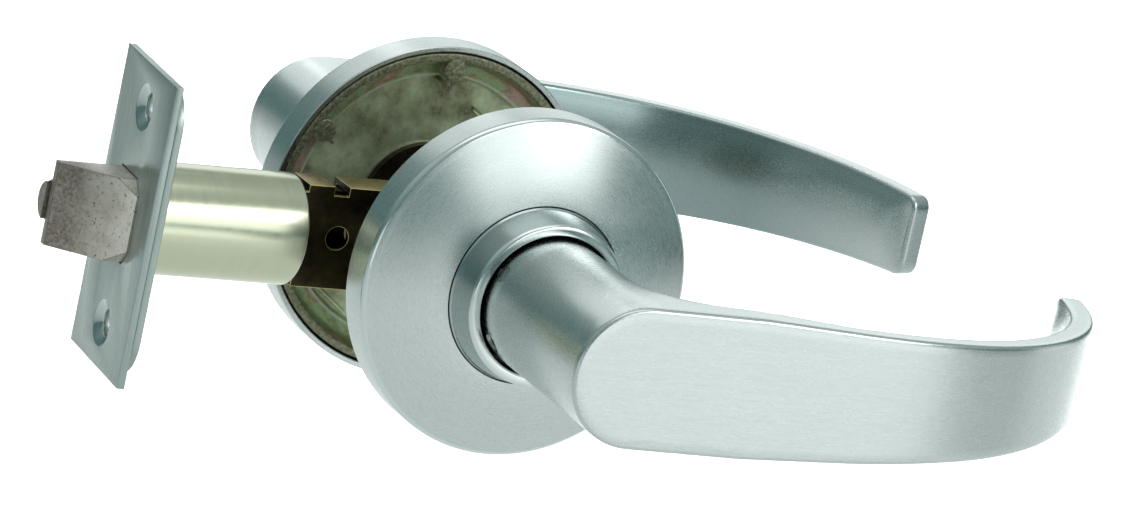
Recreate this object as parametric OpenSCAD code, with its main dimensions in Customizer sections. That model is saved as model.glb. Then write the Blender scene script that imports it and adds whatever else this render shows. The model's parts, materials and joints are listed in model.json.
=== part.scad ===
// Lever handle lockset: tubular spring latch, two round roses and two return levers.
// The spindle lies along Y and the latch along X; both axes cross at the origin.
// The outside of the door is towards -Y, the faceplate towards -X, and up is +Z.

/* [Door and setting out] */
// Thickness of the door between the two roses
door_t = 38; // [36:1:44]
// Distance from the spindle axis to the outer face of the faceplate
backset = 70; // [68:0.5:72]
// Angle the levers turn through to draw the latch in fully
turn_deg = 60; // [50:1:60]

/* [Rose] */
// Outer diameter of the rose
rose_d = 65; // [64:0.5:67]
// Height of the straight skirt of the rose
rose_skirt_h = 7; // [6.6:0.1:7.6]
// Rise of the crowned face from the skirt to the collar
rose_rise = 4.5; // [4.3:0.1:5.5]
// Thickness of the rose shell
rose_t = 1; // [0.8:0.1:1.1]

/* [Collar] */
// Outer diameter of the collar where it leaves the rose
collar_base_d = 33.8; // [33.4:0.1:34.2]
// Outer diameter of the collar at its lip
collar_lip_d = 30.8; // [30:0.1:31.6]
// Bore of the collar around the lever shank
collar_bore_d = 27; // [26.8:0.1:27.4]
// Height of the collar above the rose
collar_h = 6.7; // [6:0.1:7.5]

/* [Lever] */
// Distance from the door to the lever's outer face on the spindle axis
lever_projection = 58.5; // [56:0.5:60]
// Diameter of the round shank inside the collar
shank_d = 25.8; // [24:0.1:26]
// Height of the grip at its round end
grip_h = 26.4; // [26:0.2:27]
// Height of the grip at its tip
tip_h = 16.2; // [15:0.2:17]
// Thickness of the grip blade
blade_t = 4.4; // [4.2:0.1:5]
// Outward slope of the flat part of the grip, in degrees
face_slope = 3.5; // [3:0.5:4]
// Length of the flat part of the grip
flat_len = 40; // [38:1:42]
// Radius of the long gentle bend
bend_r = 100; // [96:1:104]
// Angle of the long gentle bend
bend_deg = 15; // [14:0.5:16]
// Radius of the return bend at the tip
return_r = 62; // [60:1:63]
// Angle of the return bend at the tip
return_deg = 66.5; // [60:0.5:67]

/* [Latch] */
// Width of the faceplate
plate_w = 28.6; // [28:0.1:29]
// Height of the faceplate
plate_h = 57.2; // [57:0.1:58]
// Thickness of the faceplate and of the backing plate
plate_t = 1.5; // [1.4:0.1:1.6]
// Bevel of the faceplate across the door's edge, in degrees
bevel_deg = 3.6; // [0:0.1:3.6]
// Distance between the two faceplate screw holes
plate_screw_gap = 41.3; // [41:0.1:41.5]
// Outer diameter of the latch tube
tube_d = 20.8; // [20.7:0.1:21]
// Length of the latch tube behind the plates
tube_len = 29.8; // [29.6:0.1:30]
// Throw of the latch bolt
bolt_throw = 12.7; // [12.5:0.1:12.7]
// Thickness of the latch case
case_t = 7.6; // [7.6:0.1:8]

/* [Hidden] */
$fn = 96;

far = 200;
gap = 0.06;

// Heights named *_z are measured outwards from the door's face.
rose_r = rose_d / 2;
crown_z = rose_skirt_h + rose_rise;
rose_hole_r = collar_base_d / 2 + 0.25;
lip_z = crown_z + collar_h;

plate_ring_r = rose_r - rose_t - 0.4;
plate_ring_w = 2.6;
plate_ledge_r = 26;
plate_ledge_z = 3.6;
floor_z = 5;
floor_t = 1.5;
hub_r = 13.2;
hub_z = 12.3;
stud_r = 2.35;
stud_ring_r = 27.8;

sleeve_r = 9;
sleeve_bore_r = 6.8;
sleeve_z = [2.2, 38];
spindle_w = 7;
spindle_z = 14;
cam_z = 2.6;
cam_t = 1.6;
cam_r = 12.5;
ear_r = [13.7, 15.4];
ear_deg = -60;
ear_half_deg = 5;
slot_spare_deg = 5;

spring_wire_r = 0.55;
spring_mean_r = 14.6;
spring_room_z = floor_z + floor_t + 0.6;

shank_r = shank_d / 2;
grip_r = grip_h / 2;
shank_z = 13.9;
catch_z = 19.6;
catch_deg = 152;
catch_r = 1.5;
catch_press = 2.5;
screw_deg = 214;
screw_r = 1.9;

bolt_x = 20.6;
bolt_r = 2;
post_r = 3.2;

plate_hole_r = 2.5;
tube_r = tube_d / 2;
tube_wall = 0.8;
tube_end_x = -backset + 2 * plate_t + tube_len;
case_wall = 1.2;
case_x = tube_end_x + 1.2;
case_end_x = 14;
case_half_h = 9.8;
case_step_x = -11;
case_hole_x = -28.5;
case_hole_r = 2.25;
notch_w = 3;
notch_depth = 1.8;
seat_x = tube_end_x - 5.4;
seat_t = 1.5;

hub_core_r = 6.7;
hub_neck_r = 6.2;
cheek_t = 0.8;
pin_arm = bolt_throw / (2 * sin(turn_deg / 2));
pin_r = 1.3;
pin_boss_r = pin_r + 0.6;
case_top_z = pin_arm + pin_boss_r + 0.4 + case_wall;
bar_z = [7.2, 8.4];
bar_w = 3;
hook_t = 2;
hook_top_z = 13.6;

head_half_h = 7.9;
head_front_y = -6;
head_back_y = 5.2;
head_chamfer = 2.6;
head_rear_x = -58;
spring_bore_r = 3.6;
spring_bore_x = head_rear_x - 8;
rivet_x = head_rear_x - 3;

plunger_r = 4;
plunger_flat_y = 5.6;
plunger_rear_x = -60;
plunger_tip_x = -backset - bolt_throw - 0.6;
slide_gap = 0.3;

// Places children with their z axis pointing out of the door's outside face.
module outward() {
    translate([0, -door_t / 2, 0]) rotate([90, 0, 0]) children();
}

// The inside half mirrors the outside half.
module opposite() {
    mirror([0, 1, 0]) children();
}

// Lays children's z axis along +X, with their x axis along +Y.
module along_x(x = 0) {
    translate([x, 0, 0]) rotate([90, 0, 90]) children();
}

module ring(outer, inner, height) {
    difference() {
        cylinder(r = outer, h = height);
        translate([0, 0, -1]) cylinder(r = inner, h = height + 2);
    }
}

// A pie slice from the z axis, between two angles, used to cut arcs.
module wedge(from, to, r, height) {
    steps = 8;
    linear_extrude(height)
        polygon(concat([[0, 0]], [for (i = [0 : steps])
            let (a = from + (to - from) * i / steps) [r * cos(a), r * sin(a)]]));
}

// One frame of a wire: its centre, and two directions across the wire.
function coil_frame(r, a, z, climb) = [
    [r * cos(a), r * sin(a), z],
    [cos(a), sin(a), 0],
    [sin(a) * sin(climb), -cos(a) * sin(climb), cos(climb)]
];
function coil_frames(r, turns, length, per_turn) =
    let (n = ceil(turns * per_turn), climb = atan(length / (turns * 360) / (r * PI / 180)))
    [for (i = [0 : n]) coil_frame(r, 360 * turns * i / n, length * i / n, climb)];

// A coil of round wire, swept ring by ring, with straight legs of a given length.
module coil(r, wire_r, turns, length, leg = 0, per_turn = 20, sides = 8) {
    body = coil_frames(r, turns, length, per_turn);
    last = len(body) - 1;
    function tangent(f) = cross(f[1], f[2]) * -1;
    function shift(f, d) = [f[0] - tangent(f) * d, f[1], f[2]];
    frames = leg > 0 ? concat([shift(body[0], -leg)], body, [shift(body[last], leg)]) : body;
    count = len(frames);
    points = [for (f = frames, k = [0 : sides - 1])
        let (b = 360 * k / sides) f[0] + wire_r * (cos(b) * f[1] + sin(b) * f[2])];
    skin = [for (i = [0 : count - 2], k = [0 : sides - 1])
        let (a = i * sides + k, b = i * sides + (k + 1) % sides)
        each [[a, b, b + sides], [a, b + sides, a + sides]]];
    start = [for (k = [sides - 1 : -1 : 0]) k];
    end = [for (k = [0 : sides - 1]) (count - 1) * sides + k];
    polyhedron(points, concat(skin, [start, end]));
}

module rose() {
    round_r = 0.8;
    crown = rose_rise - 0.6;
    face_steps = 10;
    face_outer = [for (i = [0 : face_steps])
        let (u = i / face_steps, r = rose_r - round_r - u * (rose_r - round_r - rose_hole_r))
        [r, rose_skirt_h + 0.6 + crown * (1 - pow(1 - u, 1.35))]];
    face_inner = [for (i = [face_steps : -1 : 0])
        let (p = face_outer[i]) [min(p[0], rose_r - rose_t - 0.4), p[1] - rose_t]];
    rotate_extrude()
        polygon(concat([[rose_r - rose_t, 0], [rose_r, 0], [rose_r, rose_skirt_h]],
            face_outer, face_inner, [[rose_r - rose_t, rose_skirt_h - 0.6]]));
}

module collar() {
    base_z = 10.4;
    base_r = collar_base_d / 2;
    lip_r = collar_lip_d / 2;
    bore_r = collar_bore_d / 2;
    round_r = 0.5;
    rotate_extrude()
        polygon([[hub_r + gap, base_z], [base_r, base_z], [base_r, crown_z],
            [lip_r, lip_z - round_r], [lip_r - round_r, lip_z], [bore_r + round_r, lip_z],
            [bore_r, lip_z - round_r], [bore_r, hub_z + 0.2], [hub_r + gap, hub_z + 0.2]]);
}

// Cast mounting plate: a shallow cup with a stepped wall, studs round the rim and a hub.
module mounting_plate(post_hole_r) {
    floor_top_z = floor_z + floor_t;
    difference() {
        union() {
            translate([0, 0, 0.3]) ring(plate_ring_r, plate_ring_r - plate_ring_w, floor_top_z - 0.3);
            translate([0, 0, plate_ledge_z])
                ring(plate_ring_r - plate_ring_w + 0.1, plate_ledge_r, floor_top_z - plate_ledge_z);
            translate([0, 0, floor_z]) cylinder(r = plate_ledge_r + 0.1, h = floor_t);
            translate([0, 0, floor_z]) cylinder(r = hub_r, h = hub_z - floor_z);
            for (a = [30 : 60 : 330])
                rotate([0, 0, a]) translate([stud_ring_r, 0, 0.3]) {
                    cylinder(r = stud_r, h = floor_z);
                    translate([-stud_r - 1, 0.4, 0]) cube([2, 1, floor_z]);
                }
            for (side = [[57, 20], [234, 24]])
                rotate([0, 0, side[0]]) translate([side[1], -4.5, floor_z - 0.7]) cube([0.8, 9, 1]);
        }
        translate([0, 0, -1]) cylinder(r = sleeve_r + gap, h = far);
        for (s = [-1, 1]) translate([s * bolt_x, 0, -1]) cylinder(r = post_hole_r, h = far);
        intersection() {
            translate([0, 0, floor_z - 1]) ring(ear_r[1] + 0.4, ear_r[0] - 0.4, floor_t + 2);
            rotate([0, 0, ear_deg + ear_half_deg + slot_spare_deg])
                wedge(-turn_deg - 2 * (ear_half_deg + slot_spare_deg), 0, 20, far);
        }
    }
}

module sleeve() {
    bottom = sleeve_z[0];
    top = sleeve_z[1];
    difference() {
        translate([0, 0, bottom]) cylinder(r = sleeve_r, h = top - bottom);
        translate([0, 0, bottom + 3]) cylinder(r = sleeve_bore_r, h = far);
        translate([0, 0, bottom]) cube([spindle_w + 0.3, spindle_w + 0.3, 10], center = true);
        rotate([0, 0, catch_deg]) translate([0, 0, catch_z]) rotate([0, 90, 0])
            cylinder(r = catch_r + 0.2, h = 20);
    }
}

// The cam turns with the sleeve and drives the spring through the arc slot.
module return_cam() {
    translate([0, 0, cam_z]) ring(cam_r, sleeve_r + 0.02, cam_t);
    intersection() {
        translate([0, 0, cam_z]) union() {
            ring(ear_r[1], cam_r - 0.5, cam_t);
            ring(ear_r[1], ear_r[0], floor_z + floor_t + 0.4 - cam_z);
        }
        rotate([0, 0, ear_deg]) wedge(-ear_half_deg, ear_half_deg, 20, far);
    }
}

module return_spring() {
    translate([0, 0, spring_room_z + spring_wire_r])
        rotate([0, 0, ear_deg + 20])
            coil(spring_mean_r, spring_wire_r, 1.75, 2.2, leg = 5, per_turn = 32);
}

module thrust_washer() {
    translate([0, 0, 4.35]) ring(12.3, sleeve_r + 0.12, 0.55);
}

module snap_ring() {
    translate([0, 0, hub_z + 0.25]) difference() {
        ring(10.8, sleeve_r + 0.02, 1);
        translate([0, 0, -1]) rotate([0, 0, 80]) wedge(0, 22, 20, 3);
    }
}

// Radial features of the shank, at an angle round the spindle.
module radial(angle, z) {
    rotate([0, 0, angle]) translate([0, 0, z]) rotate([0, 90, 0]) children();
}

module set_screw() {
    radial(screw_deg, catch_z) translate([0, 0, sleeve_r + 0.1]) difference() {
        cylinder(r = screw_r, h = shank_r - sleeve_r - 0.5);
        translate([0, 0, 1]) cylinder(r = 1, h = 5, $fn = 6);
    }
}

module lever_catch() {
    radial(catch_deg, catch_z) {
        translate([0, 0, 5.6]) cylinder(r = catch_r, h = shank_r - 5.7);
        translate([0, 0, 5]) cylinder(r = 2.3, h = 0.8);
    }
}

module catch_spring() {
    radial(catch_deg, catch_z) translate([0, 0, -6])
        coil(1.5, 0.25, 7, 10.6, per_turn = 12, sides = 6);
}

// Points of the grip's section, seen from above, with z of the door frame as its y.
face_z = lever_projection;
flat_end = [flat_len * cos(face_slope), face_z + flat_len * sin(face_slope)];
bend_end_deg = bend_deg - face_slope;
bend_centre = flat_end + bend_r * [sin(face_slope), -cos(face_slope)];
bend_end = bend_centre + bend_r * [sin(bend_end_deg), cos(bend_end_deg)];
return_centre = bend_end - return_r * [sin(bend_end_deg), cos(bend_end_deg)];
tip_deg = bend_end_deg + return_deg;
tip = return_centre + return_r * [sin(tip_deg), cos(tip_deg)];
root_t = 9.5;
turn_x = 93;

// A bent stretch of the blade between two headings, in a ring round a centre.
module bent(centre, r, from, to) {
    translate([centre[0], centre[1], 0]) rotate([0, 0, 90 - to]) rotate_extrude(angle = to - from)
        translate([r - blade_t, -grip_h]) square([blade_t, 2 * grip_h]);
}

module blade_section() {
    overlap_deg = 0.05;
    thin = blade_t / cos(face_slope);
    linear_extrude(2 * grip_h, center = true)
        polygon([[-grip_r, face_z - grip_r * tan(face_slope)], flat_end,
            flat_end + [0.2, 0], flat_end + [0.2, -thin], [0, face_z - root_t],
            [-grip_r, face_z - root_t]]);
    bent(bend_centre, bend_r, -face_slope, bend_end_deg + overlap_deg);
    bent(return_centre, return_r, bend_end_deg, tip_deg);
}

// Outline of the grip from the front up to the turn, then from the end up to the tip.
module grip_outline() {
    turn_half_h = 10;
    tip_half_h = tip_h / 2;
    corner = 2.4;
    turn_z = face_z - 11;
    linear_extrude(far) {
        circle(r = grip_r);
        polygon([[0, -grip_r], [22, -grip_r], [turn_x, -turn_half_h],
            [turn_x, turn_half_h], [22, grip_r], [0, grip_r]]);
    }
    translate([turn_x + far - 0.01, 0, 0]) rotate([0, -90, 0]) linear_extrude(far)
        polygon([[tip[1], -tip_half_h + corner], [tip[1] + corner, -tip_half_h],
            [turn_z, -turn_half_h], [far, -turn_half_h], [far, turn_half_h],
            [turn_z, turn_half_h], [tip[1] + corner, tip_half_h],
            [tip[1], tip_half_h - corner]]);
}

module shank() {
    flare_z = face_z - 16;
    difference() {
        rotate_extrude()
            polygon([[0, shank_z], [shank_r, shank_z], [shank_r, flare_z - 8],
                [shank_r + 0.3, flare_z], [grip_r, face_z - 6], [grip_r, face_z + 3],
                [0, face_z + 3]]);
        rotate([90, 0, 0]) linear_extrude(2 * far, center = true)
            polygon([[-40, face_z - 40 * tan(face_slope)], [40, face_z + 40 * tan(face_slope)],
                [40, far], [-40, far]]);
    }
}

// Web that blends the side of the shank into the back of the blade.
module shank_fillet() {
    fillet_r = 14;
    back_z = face_z - 7;
    rotate([90, 0, 0]) linear_extrude(19, center = true) difference() {
        translate([8, back_z - fillet_r]) square([fillet_r + 4, fillet_r]);
        translate([12 + fillet_r, back_z - fillet_r]) circle(r = fillet_r);
    }
}

module lever() {
    difference() {
        union() {
            intersection() {
                rotate([90, 0, 0]) blade_section();
                grip_outline();
            }
            shank();
            shank_fillet();
        }
        translate([0, 0, shank_z - 1]) cylinder(r = sleeve_r + 0.03, h = sleeve_z[1] + 1.2 - shank_z);
        radial(catch_deg, catch_z) cylinder(r = catch_r + 0.15, h = 20);
        radial(screw_deg, catch_z) cylinder(r = screw_r + 0.03, h = 20);
    }
}

module posts() {
    bottom = -door_t / 2 - 8;
    for (s = [-1, 1]) translate([s * bolt_x, 0, bottom])
        ring(post_r, bolt_r + 0.05, floor_z + floor_t - bottom);
}

module bolts() {
    head_z = floor_z + floor_t;
    for (s = [-1, 1]) translate([s * bolt_x, 0, 0]) difference() {
        union() {
            translate([0, 0, -door_t - 1]) cylinder(r = bolt_r, h = door_t + 1 + head_z);
            translate([0, 0, head_z]) cylinder(r = 3.4, h = 1.6);
        }
        translate([0, 0, head_z + 1.3]) {
            cube([4.4, 0.9, 1.4], center = true);
            cube([0.9, 4.4, 1.4], center = true);
        }
    }
}

// Outline of the bolt's body, seen along the latch; x is Y and y is Z.
module bolt_outline(grow = 0) {
    front = head_front_y - grow;
    back = head_back_y + grow;
    half = head_half_h + grow;
    polygon([[front, -half + head_chamfer], [front + head_chamfer, -half], [back, -half],
        [back, half], [front + head_chamfer, half], [front, half - head_chamfer]]);
}

module plunger_outline(grow = 0) {
    intersection() {
        translate([head_back_y, 0]) circle(r = plunger_r + grow);
        translate([plunger_flat_y - grow, -10]) square(20);
    }
}

// Leans a plate with the bevel of the door's edge, about the middle of the faceplate's front.
module on_edge() {
    translate([-backset, 0, 0]) rotate([0, 0, -bevel_deg]) translate([backset, 0, 0]) children();
}

module screw_holes() {
    for (s = [-1, 1]) translate([0, s * plate_screw_gap / 2, -1])
        cylinder(r = plate_hole_r, h = plate_t + 2);
}

module faceplate() {
    sink_r = 4.4;
    sink_depth = plate_t - 0.3;
    reach = 5;
    difference() {
        on_edge() along_x(-backset) difference() {
            translate([-plate_w / 2, -plate_h / 2, 0]) cube([plate_w, plate_h, plate_t]);
            screw_holes();
            for (s = [-1, 1]) translate([0, s * plate_screw_gap / 2, -0.01])
                cylinder(r1 = sink_r, r2 = plate_hole_r, h = sink_depth);
        }
        along_x(-backset - reach) linear_extrude(2 * reach) {
            bolt_outline(slide_gap);
            plunger_outline(slide_gap);
        }
    }
}

module backing_plate() {
    corner_r = 8;
    half_w = plate_w / 2 - 0.2;
    half_h = plate_h / 2 - 1;
    difference() {
        on_edge() along_x(-backset + plate_t) difference() {
            linear_extrude(plate_t) {
                translate([-half_w, -half_h + corner_r])
                    square([2 * half_w, 2 * (half_h - corner_r)]);
                translate([-half_w + corner_r, -half_h])
                    square([2 * (half_w - corner_r), 2 * half_h]);
                for (s = [-1, 1], e = [-1, 1])
                    translate([s * (half_w - corner_r), e * (half_h - corner_r)])
                        circle(r = corner_r);
            }
            screw_holes();
        }
        along_x(-backset - 1) cylinder(r = tube_r + 0.25, h = 10);
    }
}

// Tube staked in the backing plate, with its far end rolled inwards.
module latch_tube() {
    start_x = -backset - 1;
    length = tube_end_x - start_x;
    edge = 1;
    difference() {
        along_x(start_x) rotate_extrude()
            polygon([[tube_r - tube_wall, 0], [tube_r, 0], [tube_r, length - edge],
                [tube_r - 0.3, length - 0.3], [tube_r - tube_wall, length]]);
        on_edge() translate([-backset + plate_t - far, -far / 2, -far / 2]) cube(far);
    }
}

// Folded steel case with a raised end over the hub; the tube's end holds its two tongues.
module latch_case() {
    inner_t = case_t - 2 * case_wall;
    difference() {
        rotate([90, 0, 0]) {
            linear_extrude(case_t, center = true)
                polygon([[case_x, -case_half_h], [case_end_x, -case_half_h],
                    [case_end_x, case_top_z], [case_step_x, case_top_z],
                    [case_step_x, case_half_h], [case_x, case_half_h]]);
            translate([case_x - 5, -8.4, -case_t / 2]) cube([6, 16.8, case_t]);
        }
        rotate([90, 0, 0]) linear_extrude(inner_t, center = true)
            polygon([[case_x - 9, -case_half_h + case_wall],
                [case_end_x - case_wall, -case_half_h + case_wall],
                [case_end_x - case_wall, case_top_z - case_wall],
                [case_step_x + case_wall, case_top_z - case_wall],
                [case_step_x + case_wall, case_half_h - case_wall],
                [case_x - 9, case_half_h - case_wall]]);
        translate([case_hole_x - notch_w / 2 - 0.8, -case_t, case_half_h - notch_depth])
            cube([notch_w, 2 * case_t, 5]);
        rotate([90, 0, 0]) {
            translate([case_hole_x, 0, -10]) cylinder(r = case_hole_r, h = 20);
            translate([-bolt_x, 0, -10]) cylinder(r = post_r + 0.4, h = 20);
            translate([0, 0, -10]) cylinder(r = hub_neck_r + gap, h = 20);
        }
    }
}

module spring_seat() {
    along_x(seat_x) difference() {
        cylinder(r = tube_r - tube_wall - 0.05, h = seat_t);
        translate([-bar_w / 2 - 0.4, bar_z[0] - 0.5, -1]) cube([bar_w + 0.8, 10, seat_t + 2]);
    }
}

// Hub turned by the spindle; two cheeks carry the pin that pulls the draw bar.
module latch_hub() {
    core_t = case_t - 2 * case_wall - 0.2;
    rest_deg = turn_deg / 2;
    pin = pin_arm * [-sin(rest_deg), cos(rest_deg)];
    rotate([90, 0, 0]) difference() {
        union() {
            cylinder(r = hub_core_r, h = core_t, center = true);
            cylinder(r = hub_neck_r, h = case_t + 0.4, center = true);
            for (s = [-1, 1]) translate([0, 0, s * (core_t - cheek_t) / 2]) rotate([0, 0, rest_deg])
                linear_extrude(cheek_t, center = true) {
                    translate([-pin_boss_r, 0]) square([2 * pin_boss_r, pin_arm]);
                    translate([0, pin_arm]) circle(r = pin_boss_r);
                }
            translate([pin[0], pin[1], 0]) cylinder(r = pin_r, h = core_t, center = true);
        }
        cube([spindle_w + 0.2, spindle_w + 0.2, 20], center = true);
    }
}

module latch_bolt() {
    tip_x = -backset - bolt_throw;
    difference() {
        intersection() {
            along_x(tip_x) linear_extrude(head_rear_x - tip_x) bolt_outline();
            linear_extrude(30, center = true)
                polygon([[head_rear_x, head_front_y - 1], [-backset - 0.5, head_front_y - 1],
                    [-backset - 0.5, head_front_y], [tip_x, head_back_y - 1.6],
                    [tip_x, head_back_y + 1], [head_rear_x, head_back_y + 1]]);
        }
        along_x(spring_bore_x) cylinder(r = spring_bore_r, h = 20);
        translate([head_rear_x - 6.2, -bar_w / 2 - 0.05, bar_z[0] - 0.05]) cube([10, bar_w + 0.1, 5]);
        translate([rivet_x, 0, 4.4]) cylinder(r = 1.03, h = 10);
    }
}

module draw_bar() {
    front_x = head_rear_x - 6;
    hook_x = -pin_arm * sin(turn_deg / 2) + pin_r + 0.2;
    difference() {
        union() {
            translate([front_x, -bar_w / 2, bar_z[0]])
                cube([hook_x + hook_t - front_x, bar_w, bar_z[1] - bar_z[0]]);
            translate([hook_x, -bar_w / 2, bar_z[0]]) cube([hook_t, bar_w, hook_top_z - bar_z[0]]);
        }
        translate([rivet_x, 0, 0]) cylinder(r = 1.03, h = 20);
    }
}

module draw_bar_rivet() {
    translate([rivet_x, 0, 4.4]) cylinder(r = 1, h = bar_z[1] - 4.4);
}

module bolt_spring() {
    start_x = spring_bore_x + 0.5;
    along_x(start_x) coil(2.8, 0.4, 9, seat_x - start_x - 0.5, per_turn = 16);
}

module deadlatch_plunger() {
    tip_edge = 1;
    along_x(plunger_tip_x + tip_edge)
        linear_extrude(plunger_rear_x - plunger_tip_x - tip_edge) plunger_outline();
    along_x(plunger_tip_x) linear_extrude(tip_edge + 0.1) plunger_outline(-0.35);
}

module plunger_spring() {
    start_x = plunger_rear_x + 0.3;
    translate([0, 7.3, 0]) along_x(start_x)
        coil(1.3, 0.25, 10, seat_x - start_x - 0.35, per_turn = 12, sides = 6);
}

module satin() {
    color([0.72, 0.75, 0.75]) children();
}
module steel() {
    color([0.62, 0.62, 0.6]) children();
}
module yellow_zinc() {
    color([0.42, 0.38, 0.24]) children();
}

module outside_rose() { satin() outward() rose(); }
module inside_rose() { opposite() outside_rose(); }
module outside_collar() { satin() outward() collar(); }
module inside_collar() { opposite() outside_collar(); }
module outside_mounting_plate() { yellow_zinc() outward() mounting_plate(post_r + 0.05); }
module inside_mounting_plate() { yellow_zinc() opposite() outward() mounting_plate(bolt_r + 0.2); }
module outside_lever() { satin() outward() lever(); }
module inside_lever() { opposite() outside_lever(); }
module outside_sleeve() { steel() outward() sleeve(); }
module inside_sleeve() { opposite() outside_sleeve(); }
module outside_return_cam() { yellow_zinc() outward() return_cam(); }
module inside_return_cam() { opposite() outside_return_cam(); }
module outside_return_spring() { steel() outward() return_spring(); }
module inside_return_spring() { opposite() outside_return_spring(); }
module outside_thrust_washer() { steel() outward() thrust_washer(); }
module inside_thrust_washer() { opposite() outside_thrust_washer(); }
module outside_snap_ring() { steel() outward() snap_ring(); }
module inside_snap_ring() { opposite() outside_snap_ring(); }
module outside_set_screw() { steel() outward() set_screw(); }
module inside_set_screw() { opposite() outside_set_screw(); }
module outside_lever_catch() { steel() outward() lever_catch(); }
module inside_lever_catch() { opposite() outside_lever_catch(); }
module outside_catch_spring() { steel() outward() catch_spring(); }
module inside_catch_spring() { opposite() outside_catch_spring(); }
module square_spindle() {
    length = door_t + 2 * spindle_z;
    steel() cube([spindle_w, length, spindle_w], center = true);
}
module mounting_posts() { steel() outward() posts(); }
module through_bolts() { steel() opposite() outward() bolts(); }

outside_rose();
inside_rose();
outside_collar();
inside_collar();
outside_mounting_plate();
inside_mounting_plate();
outside_lever();
inside_lever();
outside_sleeve();
inside_sleeve();
outside_return_cam();
inside_return_cam();
outside_return_spring();
inside_return_spring();
outside_thrust_washer();
inside_thrust_washer();
outside_snap_ring();
inside_snap_ring();
outside_set_screw();
inside_set_screw();
outside_lever_catch();
inside_lever_catch();
outside_catch_spring();
inside_catch_spring();
square_spindle();
mounting_posts();
through_bolts();
satin() faceplate();
steel() backing_plate();
color([0.75, 0.73, 0.65]) latch_tube();
yellow_zinc() latch_case();
steel() spring_seat();
yellow_zinc() latch_hub();
color([0.6, 0.53, 0.5]) latch_bolt();
yellow_zinc() draw_bar();
steel() draw_bar_rivet();
steel() bolt_spring();
steel() deadlatch_plunger();
steel() plunger_spring();
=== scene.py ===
"""Looks of a lever handle lockset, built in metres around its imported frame.

The spindle lies along Y with the outside of the door towards -Y, the latch lies along X with its
faceplate towards -X, and up is +Z. Profiles are given in millimetres: r is the distance from the
spindle axis, and t the distance outwards from the door's face. side is -1 outside and 1 inside.
"""

import json
import math

import bmesh
import bpy
from mathutils import Matrix, Vector


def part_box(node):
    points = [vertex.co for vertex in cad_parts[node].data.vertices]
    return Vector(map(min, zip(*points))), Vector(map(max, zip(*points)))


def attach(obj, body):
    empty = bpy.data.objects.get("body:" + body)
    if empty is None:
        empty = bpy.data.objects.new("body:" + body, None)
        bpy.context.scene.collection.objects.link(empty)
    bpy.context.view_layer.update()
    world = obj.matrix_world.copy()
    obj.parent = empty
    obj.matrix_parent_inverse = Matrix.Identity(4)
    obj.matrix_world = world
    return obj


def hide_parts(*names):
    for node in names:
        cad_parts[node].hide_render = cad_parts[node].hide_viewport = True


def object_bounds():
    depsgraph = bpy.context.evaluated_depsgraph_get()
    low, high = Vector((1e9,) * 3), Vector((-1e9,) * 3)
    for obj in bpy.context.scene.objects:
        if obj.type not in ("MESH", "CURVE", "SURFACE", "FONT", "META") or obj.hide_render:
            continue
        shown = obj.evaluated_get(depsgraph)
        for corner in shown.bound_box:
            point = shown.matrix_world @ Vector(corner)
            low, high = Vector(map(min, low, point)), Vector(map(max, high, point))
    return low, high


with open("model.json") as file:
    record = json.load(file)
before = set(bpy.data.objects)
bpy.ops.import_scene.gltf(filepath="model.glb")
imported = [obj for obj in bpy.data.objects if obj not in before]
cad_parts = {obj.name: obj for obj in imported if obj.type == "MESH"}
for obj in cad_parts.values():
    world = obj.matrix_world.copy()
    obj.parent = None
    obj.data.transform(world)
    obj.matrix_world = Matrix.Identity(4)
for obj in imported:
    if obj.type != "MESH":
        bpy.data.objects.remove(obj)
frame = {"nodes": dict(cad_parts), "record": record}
cad_lo, cad_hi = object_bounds()

MM = 0.001
SIDES = {"outside": -1, "inside": 1}

# Sizes that the frame gives, in millimetres.
rose_lo, rose_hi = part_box("outside_rose")
DOOR_HALF = -rose_hi.y / MM
ROSE_R = rose_hi.x / MM
ROSE_TOP = (rose_hi.y - rose_lo.y) / MM
collar_lo, collar_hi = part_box("outside_collar")
COLLAR_R = collar_hi.x / MM
COLLAR_TOP = (rose_hi.y - collar_lo.y) / MM
tube_lo, tube_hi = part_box("latch_tube")
TUBE_R = tube_hi.y / MM
_, lever_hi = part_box("outside_lever")
SHANK_BASE = (rose_hi.y - lever_hi.y) / MM

# Sizes of the lever, as the design has them. The grip's outer face starts at LEVER_FACE over the
# spindle, runs straight, bends a little and returns to the door. s is the distance along it.
LEVER_FACE = 58.5
FACE_SLOPE = math.radians(3.5)
FLAT_LEN = 40.0
BEND_R = 100.0
BEND = math.radians(15)
RETURN_R = 62.0
RETURN = math.radians(66.5)
LEVER_LEN = FLAT_LEN + BEND_R * BEND + RETURN_R * RETURN
GRIP_R = 13.2
TIP_HALF = 8.1
TIP_CORNER = 2.6
TAPER_START = 22.0
ROOT_T = 9.5
BLADE_T = 4.4
BACK_CROWN = 1.5
EDGE_R = 0.8
NECK_S = 27.0
NECK_T = 35.0
SHANK_R = 12.9
SLEEVE_R = 9.03
BORE_TOP = 39.2

# The lever's small holes: their height, and the angle and radius of each.
PIN_T = 19.6
PINS = {"catch": (152, 1.6), "screw": (214, 1.95)}

# How finely the lever's mesh is divided.
HALF_ROWS = 8
ARC_STEPS = 40
NECK_STEPS = 12
BLADE_STEPS = 56
TIP_STEPS = 8
EDGE_STEPS = 4
CURVE_STEPS = 20

# Sizes of the latch: the faceplate's screw holes, and the small hole in the case.
SCREW_Z = 20.65
COUNTERSINK_R = 4.6
CASE_HOLE_X = -28.5
CASE_COVER_R = 3.4
CASE_COVER_Y = (2.35, 2.7)

# Vertices of a mesh that are closer than this, in metres, are one.
WELD = 2e-6


# ---------------------------------------------------------------- mesh helpers

def at(side, x, t, z):
    """The place in the frame of a point given from the door's face, in millimetres."""
    return (x * MM, side * (DOOR_HALF + t) * MM, z * MM)


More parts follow.
